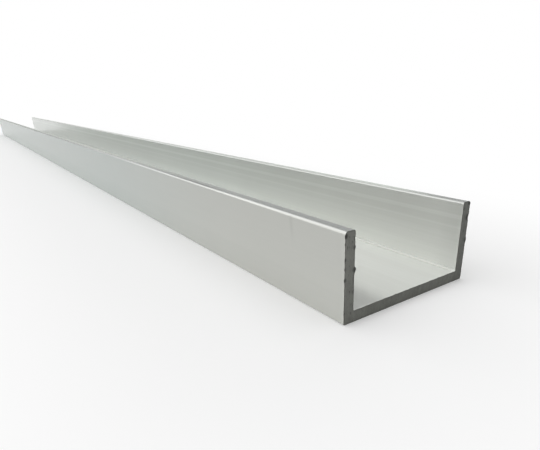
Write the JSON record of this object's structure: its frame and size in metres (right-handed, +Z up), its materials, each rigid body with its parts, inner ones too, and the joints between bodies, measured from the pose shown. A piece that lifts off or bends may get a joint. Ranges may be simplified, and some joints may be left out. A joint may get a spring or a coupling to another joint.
{
  "type": "aluminium channel section",
  "caption": "Straight bar of extruded aluminium channel: a flat web with a plain flange along each side, rounded flange tips and sawn square ends, for framing, edging or track.",
  "frame": {"origin": "middle of the bar's length and of the web's width, on the underside of the web", "axes": "+X along the bar, towards the end that the picture shows; +Y across the web; +Z up, the way the flanges stand"},
  "size_m": [1, 0.06, 0.03],
  "materials": {
    "anodised_aluminium": "satin, clear anodised, with fine die lines along the bar; sawn ends bare and darker"
  },
  "bodies": {
    "root": {"channel": "anodised_aluminium"}
  },
  "joints": []
}
